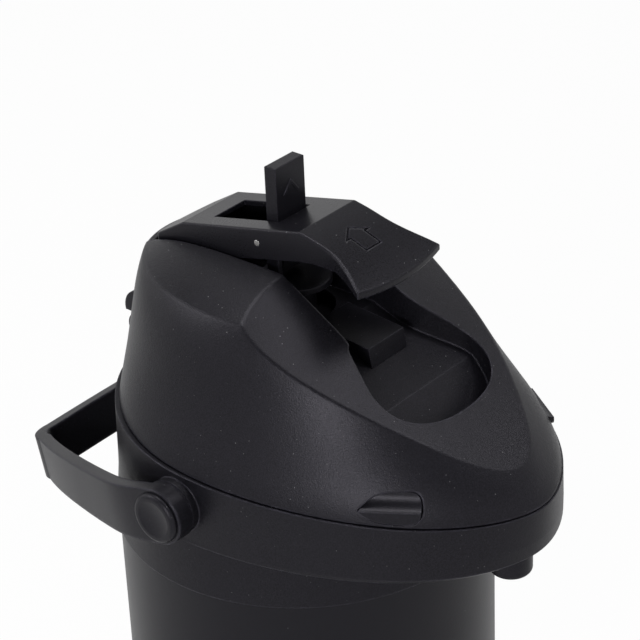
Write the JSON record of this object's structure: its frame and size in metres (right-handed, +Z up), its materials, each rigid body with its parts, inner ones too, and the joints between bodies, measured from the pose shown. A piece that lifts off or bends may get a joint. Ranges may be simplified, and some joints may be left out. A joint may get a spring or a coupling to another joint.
{
  "type": "airpot",
  "caption": "Black airpot: a vacuum flask with a pump lever in a domed hinged lid, a beak with spout nozzle and a swinging bail handle.",
  "frame": {"origin": "centre of the foot pad's flat underside, on the axis of the round body", "axes": "+Z up along the body axis, -Y towards the beak and its nozzle, +Y towards the lid hinge and the hanging handle, +X to the right hand of someone facing the beak's back"},
  "size_m": [0.1858, 0.236, 0.4045],
  "materials": {
    "black_plastic": "fine-grained satin black moulding",
    "lever_plastic": "smoother satin black moulding",
    "coated_steel": "black powder coat, satin",
    "black_rubber": "matte black",
    "grey_silicone": "matte grey silicone",
    "inner_plastic": "dark grey satin moulding",
    "flask_steel": "fine circumferential brushing",
    "bright_steel": "bright drawn steel"
  },
  "bodies": {
    "body": {"foot_pad": "black_rubber", "base_cup": "black_plastic", "base_screws": "bright_steel", "flask_cushion": "black_rubber", "casing": "coated_steel", "flask_outer": "flask_steel", "flask_inner": "flask_steel", "collar": "black_plastic", "neck_ring": "inner_plastic", "spout_pipe": "inner_plastic", "nozzle": "black_plastic", "dip_tube": "inner_plastic", "lid_hinge_pin": "bright_steel", "handle_stud_left": "black_plastic", "handle_stud_right": "black_plastic", "handle_cap_left": "black_plastic", "handle_cap_right": "black_plastic"},
    "lid": {"lid_shell": "black_plastic", "lid_base": "inner_plastic", "neck_seal": "grey_silicone", "air_valve": "grey_silicone", "pump_housing": "inner_plastic", "bellows": "grey_silicone", "pump_spring": "bright_steel", "lid_screws": "bright_steel", "rear_tab": "black_plastic", "stop_block": "black_plastic", "lever_pin": "bright_steel"},
    "lever": {"lever": "lever_plastic", "lock_tab_pin": "bright_steel"},
    "lock_tab": {"lock_tab": "black_plastic"},
    "plunger": {"plunger": "inner_plastic"},
    "latch_left": {"latch_button_left": "black_plastic"},
    "latch_right": {"latch_button_right": "black_plastic"},
    "handle": {"handle": "black_plastic"}
  },
  "joints": [
    {"name": "lid_hinge", "type": "hinge", "parent": "body", "child": "lid", "pos_m": [0, 0.0795, 0.3085], "axis": [-1, 0, 0], "range_deg": [0, 90]},
    {"name": "lever_press", "type": "hinge", "parent": "lid", "child": "lever", "pos_m": [0, 0.054, 0.352], "axis": [1, 0, 0], "range_deg": [0, 15], "stiffness_Nm_per_rad": 2, "springref_deg": -20.05},
    {"name": "pump_slide", "type": "slide", "parent": "lid", "child": "plunger", "axis": [0, 0, -1], "range_m": [0, 0.0142], "deforming": ["bellows", "pump_spring"]},
    {"name": "lock_tab_fold", "type": "hinge", "parent": "lever", "child": "lock_tab", "pos_m": [0, 0.0042, 0.3746], "axis": [-1, 0, 0], "range_deg": [0, 96]},
    {"name": "latch_left_press", "type": "slide", "parent": "lid", "child": "latch_left", "axis": [0.837, 0.5472, 0], "range_m": [0, 0.003], "stiffness_N_per_m": 400, "springref_m": -0.001},
    {"name": "latch_right_press", "type": "slide", "parent": "lid", "child": "latch_right", "axis": [-0.837, 0.5472, 0], "range_m": [0, 0.003], "stiffness_N_per_m": 400, "springref_m": -0.001},
    {"name": "handle_swing", "type": "hinge", "parent": "body", "child": "handle", "pos_m": [0, 0, 0.283], "axis": [1, 0, 0], "range_deg": [0, 90]}
  ],
  "couplings": [
    {"joint": "pump_slide", "follows": "lever_press", "m_per_rad": 0.0535}
  ]
}
